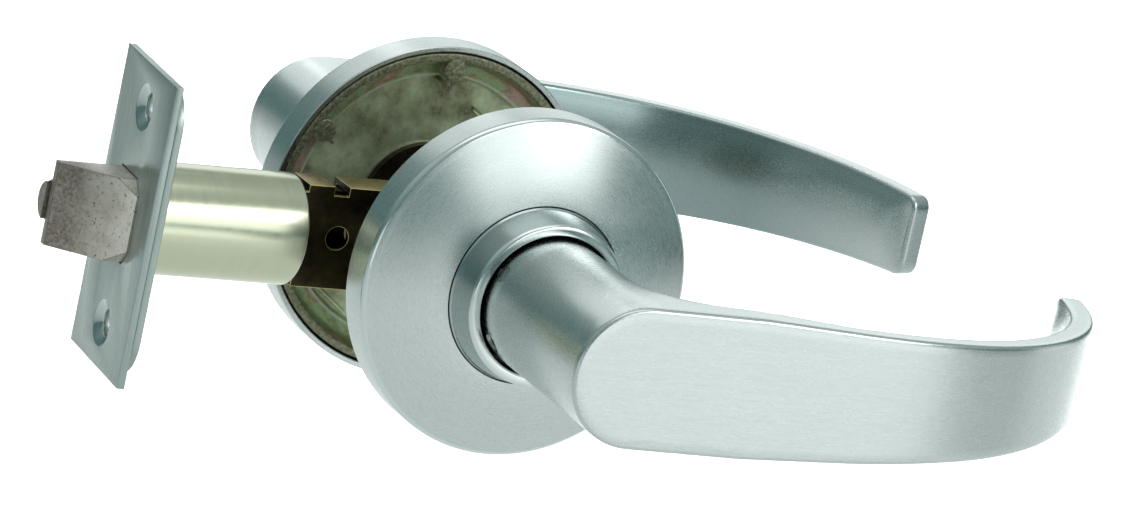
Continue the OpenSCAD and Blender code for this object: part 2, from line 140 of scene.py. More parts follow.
def ramp(value, low, high):
    """0 below low, 1 above high, and a smooth step between them."""
    u = min(max((value - low) / (high - low), 0.0), 1.0)
    return u * u * (3 - 2 * u)


def rounded(points, radii, steps):
    """A closed outline with each corner cut by an arc of the given radius."""
    out = []
    count = len(points)
    for i, (p, radius) in enumerate(zip(points, radii)):
        p = Vector(p)
        if radius == 0:
            out.append(tuple(p))
            continue
        back = Vector(points[i - 1]) - p
        on = Vector(points[(i + 1) % count]) - p
        half = back.angle(on) / 2
        reach = min(radius / math.tan(half), 0.48 * back.length, 0.48 * on.length)
        radius = reach * math.tan(half)
        centre = p + (back.normalized() + on.normalized()).normalized() * radius / math.sin(half)
        first = p + back.normalized() * reach - centre
        last = p + on.normalized() * reach - centre
        turn = first.angle_signed(last)
        for k in range(steps + 1):
            a = -turn * k / steps
            out.append((centre.x + first.x * math.cos(a) - first.y * math.sin(a),
                        centre.y + first.x * math.sin(a) + first.y * math.cos(a)))
    return out


def placed(name, data):
    """A new object in the scene, with the given mesh, light or camera."""
    obj = bpy.data.objects.new(name, data)
    bpy.context.scene.collection.objects.link(obj)
    return obj


def from_bmesh(name, bm):
    """A new object made of a bmesh, which is freed."""
    mesh = bpy.data.meshes.new(name)
    bm.to_mesh(mesh)
    bm.free()
    return placed(name, mesh)


def shade(mesh, smooth_deg):
    """Smooth shading, split at edges sharper than the given angle."""
    for polygon in mesh.polygons:
        polygon.use_smooth = True
    mesh.set_sharp_from_angle(angle=math.radians(smooth_deg))


class Skin:
    """A mesh made of patches of quads, which are welded where their borders meet."""

    def __init__(self, name):
        self.name = name
        self.points = []
        self.faces = []

    def patch(self, rows, closed=False):
        """Adds a grid of points, given row by row; closed joins the last column to the first."""
        start = len(self.points)
        width = len(rows[0])
        for row in rows:
            self.points.extend(row)
        columns = width if closed else width - 1
        for i in range(len(rows) - 1):
            for j in range(columns):
                a = start + i * width + j
                b = start + i * width + (j + 1) % width
                self.faces.append((a, b, b + width, a + width))
        return self

    def build(self, smooth_deg=32):
        """The object, with its patches welded and its faces turned outwards."""
        mesh = bpy.data.meshes.new(self.name)
        mesh.from_pydata(self.points, [], self.faces)
        bm = bmesh.new()
        bm.from_mesh(mesh)
        bmesh.ops.remove_doubles(bm, verts=bm.verts, dist=WELD)
        bmesh.ops.dissolve_degenerate(bm, dist=1e-6, edges=bm.edges)
        bmesh.ops.recalc_face_normals(bm, faces=bm.faces)
        bm.to_mesh(mesh)
        bm.free()
        shade(mesh, smooth_deg)
        return placed(self.name, mesh)


def spin(name, outline, place, steps):
    """A closed outline of (radius, height) turned once round; place gives each point its spot."""
    rows = []
    for i in range(steps + 1):
        a = 2 * math.pi * i / steps
        rows.append([place(r * math.cos(a), h, r * math.sin(a)) for r, h in outline])
    return Skin(name).patch(rows, closed=True).build()


def around_axis(side, x_mm=0.0, z_mm=0.0):
    """For spin: turns round an axis square to the door, at the spindle or at the given place."""
    return lambda u, t, v: at(side, x_mm + u, t, z_mm + v)


def around_latch(u, x, v):
    """For spin: turns round the latch axis, where heights are the frame's own x."""
    return (x * MM, u * MM, v * MM)


def apply_modifiers(obj):
    """Replaces an object's mesh with what its modifiers make of it."""
    graph = bpy.context.evaluated_depsgraph_get()
    made = bpy.data.meshes.new_from_object(obj.evaluated_get(graph))
    obj.modifiers.clear()
    obj.data = made


def cut(obj, cutters):
    """Takes the cutters out of obj and removes them."""
    for cutter in cutters:
        modifier = obj.modifiers.new("cut", "BOOLEAN")
        modifier.operation = "DIFFERENCE"
        modifier.solver = "EXACT"
        modifier.object = cutter
    apply_modifiers(obj)
    for cutter in cutters:
        bpy.data.objects.remove(cutter)
    return obj


def rod(name, start, end, radius):
    """A closed round rod between two points, in metres."""
    sides = 40
    bm = bmesh.new()
    axis = Vector(end) - Vector(start)
    turn = axis.to_track_quat("Z", "Y").to_matrix().to_4x4()
    matrix = Matrix.Translation((Vector(start) + Vector(end)) / 2) @ turn
    bmesh.ops.create_cone(bm, cap_ends=True, segments=sides, radius1=radius, radius2=radius,
                          depth=axis.length, matrix=matrix)
    return from_bmesh(name, bm)


def merged(name, pieces, *finishes):
    """One object made of several, which are removed; it keeps the order of their finishes."""
    bm = bmesh.new()
    for piece in pieces:
        bm.from_mesh(piece.data)
        bpy.data.objects.remove(piece)
    obj = from_bmesh(name, bm)
    for finish in finishes:
        obj.data.materials.append(finish)
    return obj


def arc_bar(name, side, radii, heights, from_deg, to_deg):
    """A solid bar bent round the spindle, between two radii, two heights and two angles."""
    steps = 24
    section = [(radii[0], heights[0]), (radii[1], heights[0]),
               (radii[1], heights[1]), (radii[0], heights[1])]
    rows = []
    for i in range(steps + 1):
        a = math.radians(from_deg + (to_deg - from_deg) * i / steps)
        rows.append([at(side, r * math.cos(a), t, r * math.sin(a)) for r, t in section])
    skin = Skin(name).patch(rows, closed=True)
    corners = range(len(section))
    skin.faces.append(tuple(corners))
    skin.faces.append(tuple(steps * len(section) + k for k in corners))
    return skin.build()


def block(name, side, angle_deg, radii, half_width, heights, bevel=0.2):
    """A small bar with rounded edges, square to the radius at an angle round the spindle."""
    a = math.radians(angle_deg)
    bm = bmesh.new()
    bmesh.ops.create_cube(bm, size=1.0)
    for v in bm.verts:
        r = radii[0] + (radii[1] - radii[0]) * (v.co.x + 0.5)
        w = half_width * 2 * v.co.y
        t = heights[0] + (heights[1] - heights[0]) * (v.co.z + 0.5)
        v.co = at(side, r * math.cos(a) - w * math.sin(a), t, r * math.sin(a) + w * math.cos(a))
    bmesh.ops.bevel(bm, geom=bm.edges, offset=bevel * MM, segments=3, affect="EDGES", profile=0.5)
    bmesh.ops.recalc_face_normals(bm, faces=bm.faces)
    return from_bmesh(name, bm)


def softened(node, name, width, finish, edge_painted_light=None):
    """A copy of a CAD node's mesh with its hard edges rounded to the given width in metres.

    If an edge colour is given, the roundings take it, to paint a highlight or a shade along the edges.
    """
    bm = bmesh.new()
    bm.from_mesh(frame["nodes"][node].data)
    bmesh.ops.remove_doubles(bm, verts=bm.verts, dist=WELD)
    bmesh.ops.dissolve_limit(bm, angle_limit=math.radians(1.0), verts=bm.verts, edges=bm.edges)
    obj = from_bmesh(name, bm)
    obj.data.materials.append(finish)
    modifier = obj.modifiers.new("edges", "BEVEL")
    modifier.width = width
    modifier.segments = 3
    modifier.limit_method = "ANGLE"
    modifier.angle_limit = math.radians(28)
    modifier.use_clamp_overlap = True
    if edge_painted_light is not None:
        obj.data.materials.append(edge_painted_light)
        modifier.material = 1
    apply_modifiers(obj)
    shade(obj.data, 32)
    return obj


def refinish(obj, material, test):
    """Gives another finish to the faces whose centre (in millimetres) and normal pass a test."""
    obj.data.materials.append(material)
    index = len(obj.data.materials) - 1
    for polygon in obj.data.polygons:
        if test(polygon.center / MM, polygon.normal):
            polygon.material_index = index
    return obj


def from_door(point):
    """Distance from the spindle axis and height above the nearer face of the door."""
    return math.hypot(point.x, point.z), abs(point.y) - DOOR_HALF


def settle(obj, body, nodes, finish=None):
    """Gives a piece its body and its finish, and hides the CAD nodes it stands for."""
    if finish is not None:
        obj.data.materials.clear()
        obj.data.materials.append(finish)
    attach(obj, body)
    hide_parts(*nodes)
    return obj


# ---------------------------------------------------------------- materials

class Paint:
    """A metal material under construction: a principled shader and helpers to wire nodes."""

    def __init__(self, name, metallic=1.0, roughness=0.3):
        self.material = bpy.data.materials.new(name)
        self.material.use_nodes = True
        self.tree = self.material.node_tree
        self.shader = self.tree.nodes["Principled BSDF"]
        self.shader.inputs["Metallic"].default_value = metallic
        self.shader.inputs["Roughness"].default_value = roughness
        self.place = self.node("ShaderNodeTexCoord").outputs["Object"]

    def node(self, kind, settings=None, **inputs):
        """A new node; an input is named as its socket, or i0, i1 and so on by its number."""
        made = self.tree.nodes.new(kind)
        for key, value in (settings or {}).items():
            setattr(made, key, value)
        for key, value in inputs.items():
            socket = made.inputs[int(key[1:]) if key[1:].isdigit() else key]
            if isinstance(value, bpy.types.NodeSocket):
                self.tree.links.new(value, socket)
            else:
                socket.default_value = value
        return made

    def math(self, operation, a, b=0.0):
        return self.node("ShaderNodeMath", {"operation": operation}, i0=a, i1=b).outputs[0]

    def parts(self, vector=None):
        """The x, y and z of a vector, or of the object's own coordinates."""
        split = self.node("ShaderNodeSeparateXYZ", i0=vector or self.place)
        return split.outputs[0], split.outputs[1], split.outputs[2]

    def vector(self, x, y, z):
        return self.node("ShaderNodeCombineXYZ", i0=x, i1=y, i2=z).outputs[0]

    def scaled(self, x, y, z):
        """The object's own coordinates, stretched by a factor along each axis."""
        return self.node("ShaderNodeMapping", i0=self.place, i3=(x, y, z)).outputs[0]

    def off_axis(self, x, z):
        """The distance from the spindle axis."""
        return self.math("SQRT", self.math("ADD", self.math("MULTIPLY", x, x),
                                           self.math("MULTIPLY", z, z)))

    def circular(self, across, around, along):
        """Coordinates round the spindle: radius, angle and distance along it."""
        x, y, z = self.parts()
        radius = self.off_axis(x, z)
        angle = self.math("ARCTAN2", z, x)
        return self.vector(self.math("MULTIPLY", radius, across),
                           self.math("MULTIPLY", angle, around),
                           self.math("MULTIPLY", y, along))

    def noise(self, where, detail, rough=0.6):
        """Noise from 0 to 1 at the given coordinates, which set its scale."""
        made = self.node("ShaderNodeTexNoise", i0=where, Scale=1.0, Detail=detail, Roughness=rough)
        return made.outputs[0]

    def stops(self, factor, *stops):
        """A colour ramp: stops are (position, colour)."""
        made = self.node("ShaderNodeValToRGB", i0=factor)
        elements = made.color_ramp.elements
        while len(elements) < len(stops):
            elements.new(0.5)
        for element, (position, colour) in zip(elements, stops):
            element.position = position
            element.color = (*colour, 1)
        return made.outputs[0]

    def span(self, factor, low, high, out_low, out_high):
        """A factor's range from low to high, carried over to another range and clamped to it."""
        return self.node("ShaderNodeMapRange", i0=factor, i1=low, i2=high,
                         i3=out_low, i4=out_high).outputs[0]

    def mix(self, factor, a, b):
        """Colour a where factor is 0, and colour b where it is 1."""
        made = self.node("ShaderNodeMix", {"data_type": "RGBA"})
        for socket, value in ((0, factor), (6, a), (7, b)):
            if isinstance(value, bpy.types.NodeSocket):
                self.tree.links.new(value, made.inputs[socket])
            else:
                made.inputs[socket].default_value = value if socket == 0 else (*value, 1)
        return made.outputs[2]

    def bump(self, height, distance, strength=1.0):
        """Relief by a height, on top of the bumps that the shader already has."""
        made = self.node("ShaderNodeBump", Strength=strength, Distance=distance, Height=height)
        if self.shader.inputs["Normal"].is_linked:
            self.tree.links.new(self.shader.inputs["Normal"].links[0].from_socket,
                                made.inputs["Normal"])
        self.tree.links.new(made.outputs[0], self.shader.inputs["Normal"])

    def colour(self, value):
        self.tree.links.new(value, self.shader.inputs["Base Color"])

    def roughness(self, value):
        self.tree.links.new(value, self.shader.inputs["Roughness"])


def brushed(name, tint, coordinates, rough=(0.24, 0.32), depth=2e-6, contrast=0.05,
            across=None, stretch=0.55, back=None):
    """Brushed metal: fine scratches along the coordinates' slow axis, and a faint mottling.

    across is the direction at right angles to the scratches: "radius" or an axis of the piece.
    back is a darker tint painted on the faces that look towards the door: painted shade.
    """
    paint = Paint(name)
    lines = paint.noise(coordinates(paint, 1.0), detail=3.0, rough=0.6)
    broad = paint.noise(coordinates(paint, 0.22), detail=3.0)
    cloud = paint.noise(paint.scaled(40, 40, 40), detail=3.0)
    light = [c * (1 + contrast) for c in tint]
    dark = [c * (1 - contrast) for c in tint]
    streaks = paint.mix(paint.span(lines, 0.3, 0.7, 0.0, 1.0), dark, light)
    wide = paint.mix(paint.span(broad, 0.35, 0.65, 0.0, 0.5), streaks, light)
    metal = paint.mix(paint.span(cloud, 0.3, 0.7, 0.0, 0.35), wide, dark)
    if back is not None:
        # Negative where a face looks to the door: its place and normal are opposite along Y.
        facing = paint.node("ShaderNodeTexCoord").outputs["Normal"]
        outward = paint.math("MULTIPLY", paint.parts()[1], paint.parts(facing)[1])
        # Painted shade: faces that look towards the door are darkened to the back tint.
        metal = paint.mix(paint.span(outward, -0.008, -0.045, 0.0, 1.0), metal, back)
    paint.colour(metal)
    paint.roughness(paint.span(lines, 0.25, 0.75, *rough))
    paint.bump(lines, depth)
    if across is not None:
        paint.shader.inputs["Anisotropic"].default_value = stretch
        if across == "radius":
            tangent = paint.node("ShaderNodeTangent", {"direction_type": "RADIAL", "axis": "Y"})
            paint.shader.inputs["Anisotropic Rotation"].default_value = 0.25
        else:
            tangent = paint.node("ShaderNodeVectorTransform",
                                 {"vector_type": "VECTOR", "convert_from": "OBJECT",
                                  "convert_to": "WORLD"}, i0=across)
        paint.tree.links.new(tangent.outputs[0], paint.shader.inputs["Tangent"])
    return paint.material


# Coordinates whose noise makes scratches in one direction; factor makes them finer or coarser.

def lengthwise(paint, factor):
    return paint.scaled(150 * factor, 3300 * factor, 3300 * factor)


def upright(paint, factor):
    return paint.scaled(1800 * factor, 1800 * factor, 70 * factor)


def ringwise(paint, factor):
    return paint.circular(4200 * factor, 14 * factor, 4200 * factor)


def tubewise(paint, factor):
    return paint.scaled(1400 * factor, 160 * factor, 160 * factor)


def grained_bolt():
    """Sintered, plated bolt metal: warm, mottled and finely grained, and darker at its tip."""
    paint = Paint("bolt_metal", metallic=0.55)
    grain = paint.noise(paint.scaled(1500, 1500, 1500), detail=4.0, rough=0.7)
    blotch = paint.noise(paint.scaled(220, 220, 220), detail=5.0, rough=0.65)
    along = paint.parts()[0]
    pale = paint.stops(blotch, (0.3, (0.74, 0.66, 0.57)), (0.5, (0.92, 0.84, 0.75)),
                       (0.7, (1.0, 0.93, 0.85)))
    worn = paint.math("ADD", paint.span(along, -0.0800, -0.0700, 1.0, 0.0),
                      paint.span(blotch, 0.3, 0.7, 0.1, -0.1))
    base = paint.mix(worn, pale, (0.17, 0.13, 0.10))
    pits = paint.noise(paint.scaled(1900, 1900, 1300), detail=3.0, rough=0.7)
    warm = paint.mix(paint.span(grain, 0.35, 0.65, 0.0, 0.4), base, (0.70, 0.66, 0.61))
    paint.colour(paint.mix(paint.span(pits, 0.42, 0.32, 0.0, 0.8), warm, (0.10, 0.08, 0.06)))
    paint.roughness(paint.span(grain, 0.3, 0.7, 0.28, 0.44))
    paint.bump(pits, 1.3e-4, 0.8)
    return paint.material


def cast_zinc():
    """Rough casting with an olive dichromate film: speckled rim, iridescent shelf, dark floor."""
    paint = Paint("cast_zinc", metallic=0.7)
    x, y, z = paint.parts()
    height = paint.math("SUBTRACT", paint.math("ABSOLUTE", y), DOOR_HALF * MM)
    radius = paint.off_axis(x, z)
    grain = paint.noise(paint.scaled(1500, 1500, 1500), detail=5.0, rough=0.75)
    patch = paint.noise(paint.scaled(110, 110, 110), detail=5.0, rough=0.6)
    hue = paint.noise(paint.circular(190, 2.4, 330), detail=4.0, rough=0.6)
    floor = paint.stops(patch, (0.34, (0.13, 0.11, 0.06)), (0.49, (0.44, 0.49, 0.30)),
                        (0.68, (0.78, 0.92, 0.62)))
    film = paint.stops(hue, (0.30, (0.20, 0.22, 0.10)), (0.43, (0.36, 0.48, 0.26)),
                       (0.52, (0.30, 0.25, 0.12)), (0.60, (0.58, 0.36, 0.32)),
                       (0.68, (0.26, 0.40, 0.20)), (0.80, (0.16, 0.14, 0.07)))
    rim_metal = paint.stops(grain, (0.35, (0.12, 0.11, 0.07)), (0.50, (0.22, 0.22, 0.14)),
                            (0.66, (0.42, 0.44, 0.32)))
    # Where each region is, by its distance from the spindle and its height over the door.
    shelf = paint.math("MULTIPLY", paint.span(radius, 0.0252, 0.0262, 0.0, 1.0),
                       paint.span(height, 0.0048, 0.0042, 0.0, 1.0))
    lip = paint.math("MULTIPLY", paint.span(radius, 0.0253, 0.0257, 0.0, 1.0),
                     paint.span(radius, 0.0266, 0.0261, 0.0, 1.0))
    rim = paint.span(height, 0.0013, 0.0007, 0.0, 1.0)
    body = paint.mix(shelf, floor, film)
    body = paint.mix(paint.math("MULTIPLY", lip, 0.7), body, (0.62, 0.70, 0.56))
    speckled = paint.mix(paint.span(grain, 0.50, 0.66, 0.0, 0.45), body, (0.50, 0.52, 0.42))
    paint.colour(paint.mix(rim, speckled, rim_metal))
    paint.roughness(paint.span(grain, 0.3, 0.7, 0.30, 0.55))
    paint.bump(patch, 2.0e-4, 0.4)
    paint.bump(grain, 5e-5, 0.6)
    return paint.material


def dichromate(name, dark, light, rough=(0.3, 0.5)):
    """Sheet steel with a dark yellow dichromate film."""
    paint = Paint(name)
    cloud = paint.noise(paint.scaled(180, 180, 180), detail=5.0, rough=0.65)
    grain = paint.noise(paint.scaled(1600, 500, 1600), detail=3.0)
    paint.colour(paint.mix(paint.span(cloud, 0.32, 0.68, 0.0, 1.0), dark, light))
    paint.roughness(paint.span(grain, 0.3, 0.7, *rough))
    paint.bump(grain, 2e-5, 0.7)
    paint.bump(cloud, 8e-5, 0.4)
    return paint.material


def plain_steel():
    """Bare steel with a faint cloudiness and a fine grain."""
    paint = Paint("plain_steel")
    cloud = paint.noise(paint.scaled(260, 260, 260), detail=4.0)
    grain = paint.noise(paint.scaled(2200, 2200, 2200), detail=2.0)
    paint.colour(paint.mix(paint.span(cloud, 0.3, 0.7, 0.0, 1.0),
                           (0.46, 0.45, 0.43), (0.62, 0.61, 0.59)))
    paint.roughness(paint.span(grain, 0.3, 0.7, 0.22, 0.38))
    paint.bump(grain, 1.2e-5)
    return paint.material


CHROME = (0.63, 0.67, 0.66)
looks = {
    # The lever's back tint is painted shade on the faces that look towards the door.
    "lever": brushed("satin_chrome_lever", CHROME, lengthwise, (0.23, 0.30), 3e-6, 0.06,
                     across=(0, 0, 1), stretch=0.4, back=(0.32, 0.395, 0.395)),
    "round": brushed("satin_chrome_round", CHROME, ringwise, across="radius", stretch=0.6),
    # The edge finish's paler tint is a painted highlight on the roses' shoulders and the collars'
    # lips; its lower roughness is their polish.
    "edge": brushed("chrome_edge_painted_highlight", (0.74, 0.79, 0.78), ringwise, (0.15, 0.20), 1e-6, 0.02),
    # The collar's tint is darker than the other satin chrome: painted shade.
    "collar": brushed("satin_chrome_collar_painted_shade", (0.52, 0.59, 0.585), ringwise, (0.14, 0.20), 2e-6),
    "plate": brushed("satin_chrome_plate", (0.36, 0.42, 0.40), upright, (0.24, 0.36), 4e-6, 0.14,
                     across=(0, 1, 0)),
    "countersink": brushed("turned_countersink", (0.62, 0.67, 0.65), tubewise, (0.10, 0.16), 4e-6),
    "tube": brushed("satin_nickel", (0.62, 0.64, 0.48), tubewise, (0.20, 0.26), 3e-6, 0.04),
    "bolt": grained_bolt(),
    # Near-black brown for the bolt's rounded edges: painted shade along them.
    "bolt_edge_painted_shade": dichromate("bolt_edge_painted_shade", (0.05, 0.035, 0.025), (0.22, 0.17, 0.13)),
    "cast": cast_zinc(),
    # The case's yellow dichromate film in three painted copies: paler on faces that look up or down
    # (painted light), near black wherever the case look is used (painted shade), and gold on rounded
    # edges (painted highlight).
    "case_top_painted_light": dichromate("case_top_painted_light", (0.24, 0.18, 0.09), (0.48, 0.38, 0.20), (0.28, 0.42)),
    "case": dichromate("case_film_painted_shade", (0.018, 0.014, 0.009), (0.075, 0.058, 0.032)),
    "gold": dichromate("case_gold_painted_highlight", (0.62, 0.50, 0.20), (0.95, 0.80, 0.40), (0.25, 0.4)),
    "steel": plain_steel(),
}


# ---------------------------------------------------------------- roses and collars

def make_rose(side_name):
    """Crowned shell: a straight skirt, a crisp shoulder and a face that rises to the collar."""
    skirt_h = 7.0
    wall = 1.0
    hole_r = COLLAR_R + 0.25
    shoulder_w, shoulder_h = 1.3, 1.15
    face_r = ROSE_R - 1.1
    face_t = skirt_h + 0.75
    rise = ROSE_TOP - face_t
    bulge = 1.35
    steps = 24
    turns = [math.radians(8 + 12 * k) for k in range(6)]
    shoulder = [(ROSE_R - shoulder_w * (1 - math.cos(a)), skirt_h - 0.35 + shoulder_h * math.sin(a))
                for a in turns]
    face = []
    for i in range(1, steps + 1):
        u = i / steps
        face.append((face_r - u * (face_r - hole_r), face_t + rise * (1 - (1 - u) ** bulge)))
    inner = [(min(r, ROSE_R - wall - 0.4), t - wall) for r, t in reversed(face)]
    rim = [(ROSE_R - wall, 0.15), (ROSE_R - wall + 0.15, 0.0), (ROSE_R - 0.2, 0.0), (ROSE_R, 0.2)]
    outline = [(ROSE_R, skirt_h - 0.4)] + shoulder + face + inner \
        + [(ROSE_R - wall, skirt_h - 0.6)] + rim
    piece = spin(f"{side_name}_rose_shell", outline, around_axis(SIDES[side_name]), 256)
    settle(piece, "lock_body", [f"{side_name}_rose"], looks["round"])

    def on_shoulder_painted_highlight(centre, normal):
        r, t = from_door(centre)
        return t > skirt_h - 0.1 and r > ROSE_R - 1.0

    # The shoulder takes the paler edge finish: a painted highlight along it.
    return refinish(piece, looks["edge"], on_shoulder_painted_highlight)


def make_collar(side_name):
    """Tapered collar with a rounded lip round the shank."""
    bore_r = 13.5
    hub_r = 13.26
    lip_r = COLLAR_R - 1.4
    foot_t = 10.4
    step_t = 12.6
    points = [(hub_r, foot_t), (COLLAR_R, foot_t), (COLLAR_R, ROSE_TOP + 0.1),
              (COLLAR_R - 0.25, ROSE_TOP + 0.5), (lip_r, COLLAR_TOP), (bore_r, COLLAR_TOP),
              (bore_r, step_t), (hub_r, step_t)]
    radii = [0, 0, 0.1, 0.2, 0.9, 0.5, 0, 0]
    place = around_axis(SIDES[side_name])
    piece = spin(f"{side_name}_collar_ring", rounded(points, radii, 6), place, 192)
    settle(piece, "lock_body", [f"{side_name}_collar"], looks["collar"])

    def on_lip_painted_highlight(centre, normal):
        return from_door(centre)[1] > COLLAR_TOP - 1

    def in_gap_painted_shade(centre, normal):
        r, t = from_door(centre)
        return r < bore_r + 0.05 and t < COLLAR_TOP - 0.6

    # The lip takes the paler edge finish: a painted highlight.
    refinish(piece, looks["edge"], on_lip_painted_highlight)
    # The bore's faces take the near-black case film: painted shade in the gap round the shank.
    return refinish(piece, looks["case"], in_gap_painted_shade)


def make_mounting_plate(side_name, bolt_hole_r):
    """Cast cup with a rough rim, a shelf, a grained floor, six studs, ribs and a hub."""
    side = SIDES[side_name]
    rim_r, hub_r, bore_r = 31.1, 13.2, 9.06
    floor_t, back_t, hub_t = 5.0, 6.5, 12.3
    bolt_x = 20.6
    points = [(rim_r, 0.3), (rim_r, back_t), (hub_r, back_t), (hub_r, hub_t), (bore_r, hub_t),
              (bore_r, floor_t), (25.5, floor_t), (25.9, 3.7), (28.5, 3.5), (29.5, 0.3)]
    radii = [0.35, 0.3, 0.5, 0.4, 0.2, 0.3, 0.5, 0.35, 0.7, 0.4]
    base = spin(f"{side_name}_plate_base", rounded(points, radii, 4), around_axis(side), 192)
    drills = [rod("drill", at(side, x, 3, 0), at(side, x, 9, 0), bolt_hole_r * MM)
              for x in (-bolt_x, bolt_x)]
    drills.append(arc_bar("slot", side, (13.3, 15.8), (3.5, 8.5), -130, -50))
    parts = [cut(base, drills)]

    stud_r, ring_r = 2.3, 27.8
    foot_t = floor_t + 0.3
    stud = rounded([(0, 0.25), (stud_r, 0.25), (stud_r + 0.15, foot_t), (0, foot_t)],
                   [0, 0.3, 0, 0], 4)
    nib_radii = (ring_r - stud_r - 0.9, ring_r - stud_r + 0.4)
    for degrees in range(30, 390, 60):
        a = math.radians(degrees)
        place = around_axis(side, ring_r * math.cos(a), ring_r * math.sin(a))
        parts.append(spin("stud", stud, place, 40))
        parts.append(block("nib", side, degrees + 1.8, nib_radii, 0.45, (0.6, floor_t + 0.2)))
    for degrees, r in ((57, 20), (234, 24)):
        parts.append(block("rib", side, degrees, (r, r + 0.8), 4.5, (4.35, floor_t + 0.2), 0.3))

    piece = merged(f"{side_name}_mounting_casting", parts)
    shade(piece.data, 35)
    return settle(piece, "lock_body", [f"{side_name}_mounting_plate"], looks["cast"])


# ---------------------------------------------------------------- levers

def lever_path(s):
    """Place (x, t) and heading of the grip's outer face at a distance s along it."""
    x, t, heading = 0.0, LEVER_FACE, FACE_SLOPE
    step = min(s, FLAT_LEN)
    x += step * math.cos(heading)
    t += step * math.sin(heading)
    left = s - step
    for radius, turn in ((BEND_R, BEND), (RETURN_R, RETURN)):
        step = min(left, radius * turn)
        new = heading - step / radius
        x += radius * (math.sin(heading) - math.sin(new))
        t += radius * (math.cos(new) - math.cos(heading))
        heading = new
        left -= step
    return x, t, heading


def on_grip(s, depth, z):
    """A point at a depth behind the grip's outer face, as (x, t, z)."""
    x, t, heading = lever_path(s)
    return (x + depth * math.sin(heading), t - depth * math.cos(heading), z)


def half_height(s):
    """Half the height of the grip, with its two tip corners rounded."""
    taper = (GRIP_R - TIP_HALF) * max(s - TAPER_START, 0) / (LEVER_LEN - TAPER_START)
    over = max(s - (LEVER_LEN - TIP_CORNER), 0)
    return GRIP_R - taper - TIP_CORNER + math.sqrt(TIP_CORNER ** 2 - over ** 2)


def thickness(s):
    """Thickness of the grip, which thins from its root to the end of its straight part."""
    return BLADE_T + (ROOT_T - BLADE_T) * min(max(1 - s / FLAT_LEN, 0), 1)


def hermite(a, b, out_a, in_b, u):
    """A smooth curve from a to b with given directions, which are scaled to its length."""
    reach = 1.12 * (b - a).length
    return (a * (2 * u ** 3 - 3 * u ** 2 + 1) + b * (3 * u ** 2 - 2 * u ** 3)
            + out_a * reach * (u ** 3 - 2 * u ** 2 + u) + in_b * reach * (u ** 3 - u ** 2))


def grip_outline():
    """Outline of the outer face in four runs: the round left end, the top, the tip and the bottom.

    Each point is ((s, z), outward direction). The top and the bottom both run towards the tip.
    """
    arc = []
    for k in range(1, ARC_STEPS):
        a = math.radians(270 - 180 * k / ARC_STEPS)
        arc.append(((GRIP_R * math.cos(a), GRIP_R * math.sin(a)), (math.cos(a), math.sin(a))))

    blade_end = LEVER_LEN - TIP_CORNER
    stations = [NECK_S * i / NECK_STEPS for i in range(NECK_STEPS)]
    stations += [NECK_S + (blade_end - NECK_S) * i / BLADE_STEPS for i in range(BLADE_STEPS)]
    stations += [LEVER_LEN - TIP_CORNER * (1 - math.sin(math.pi / 2 * k / TIP_STEPS))
                 for k in range(TIP_STEPS + 1)]
    nudge = 0.01
    steepest = -4
    top = []
    for s in stations:
        slope = steepest
        if s < LEVER_LEN:
            beyond = half_height(min(s + nudge, LEVER_LEN))
            slope = (beyond - half_height(s - nudge)) / (2 * nudge)
        size = math.hypot(slope, 1)
        top.append(((s, half_height(s)), (-slope / size, 1 / size)))

    end_half = half_height(LEVER_LEN)
    tip = [((LEVER_LEN, end_half * j / HALF_ROWS), (1.0, 0.0))
           for j in range(HALF_ROWS - 1, -HALF_ROWS, -1)]
    bottom = [((s, -z), (ns, -nz)) for (s, z), (ns, nz) in top]
    return arc, top, tip, bottom


def inset(place, out, by):
    """A point of the outline moved inwards."""
    return place[0] - out[0] * by, place[1] - out[1] * by


def edge_turns():
    """Angles of the steps of a rounded edge, from 0 to 90 degrees."""
    return [math.pi / 2 * k / EDGE_STEPS for k in range(EDGE_STEPS + 1)]


def outer_face(top):
    """Outer face of the grip: half a disc at the left end, and columns from there to the tip."""
    disc = []
    for j in range(HALF_ROWS + 1):
        row = []
        for k in range(ARC_STEPS + 1):
            a = math.radians(270 - 180 * k / ARC_STEPS)
            r = (GRIP_R - EDGE_R) * j / HALF_ROWS
            row.append(on_grip(r * math.cos(a), 0, r * math.sin(a)))
        disc.append(row)
    columns = []
    for place, out in top:
        s, z = inset(place, out, EDGE_R)
        columns.append([on_grip(s, 0, z * j / HALF_ROWS) for j in range(-HALF_ROWS, HALF_ROWS + 1)])
    return disc, columns


def wall_depth(s):
    """Where the side wall ends: at the back's rounding, or higher up round the shank."""
    round_shank = 3.0
    return round_shank + (thickness(max(s, 0)) - EDGE_R - round_shank) * ramp(s, 0, NECK_S)


def side_rings(loop):
    """Rings all the way round the grip: the rounded outer edge and the side wall."""

    def ring(by, depth):
        points = []
        for place, out in loop:
            s, z = inset(place, out, by)
            points.append(on_grip(s, depth(s), z))
        return points

    rings = [ring(EDGE_R * (1 - math.sin(b)), lambda s, b=b: EDGE_R * (1 - math.cos(b)))
             for b in edge_turns()]
    rings += [ring(0, lambda s, f=f: EDGE_R + (wall_depth(s) - EDGE_R) * f)
              for f in (0.25, 0.5, 0.75, 1.0)]
    return rings


def back_edge(open_loop):
    """Rings of the rounded edge between the side wall and the back of the blade."""
    rings = []
    for b in edge_turns():
        ring = []
        for place, out in open_loop:
            s, z = inset(place, out, EDGE_R * (1 - math.cos(b)))
            ring.append(on_grip(s, thickness(s) - EDGE_R * (1 - math.sin(b)), z))
        rings.append(ring)
    return rings


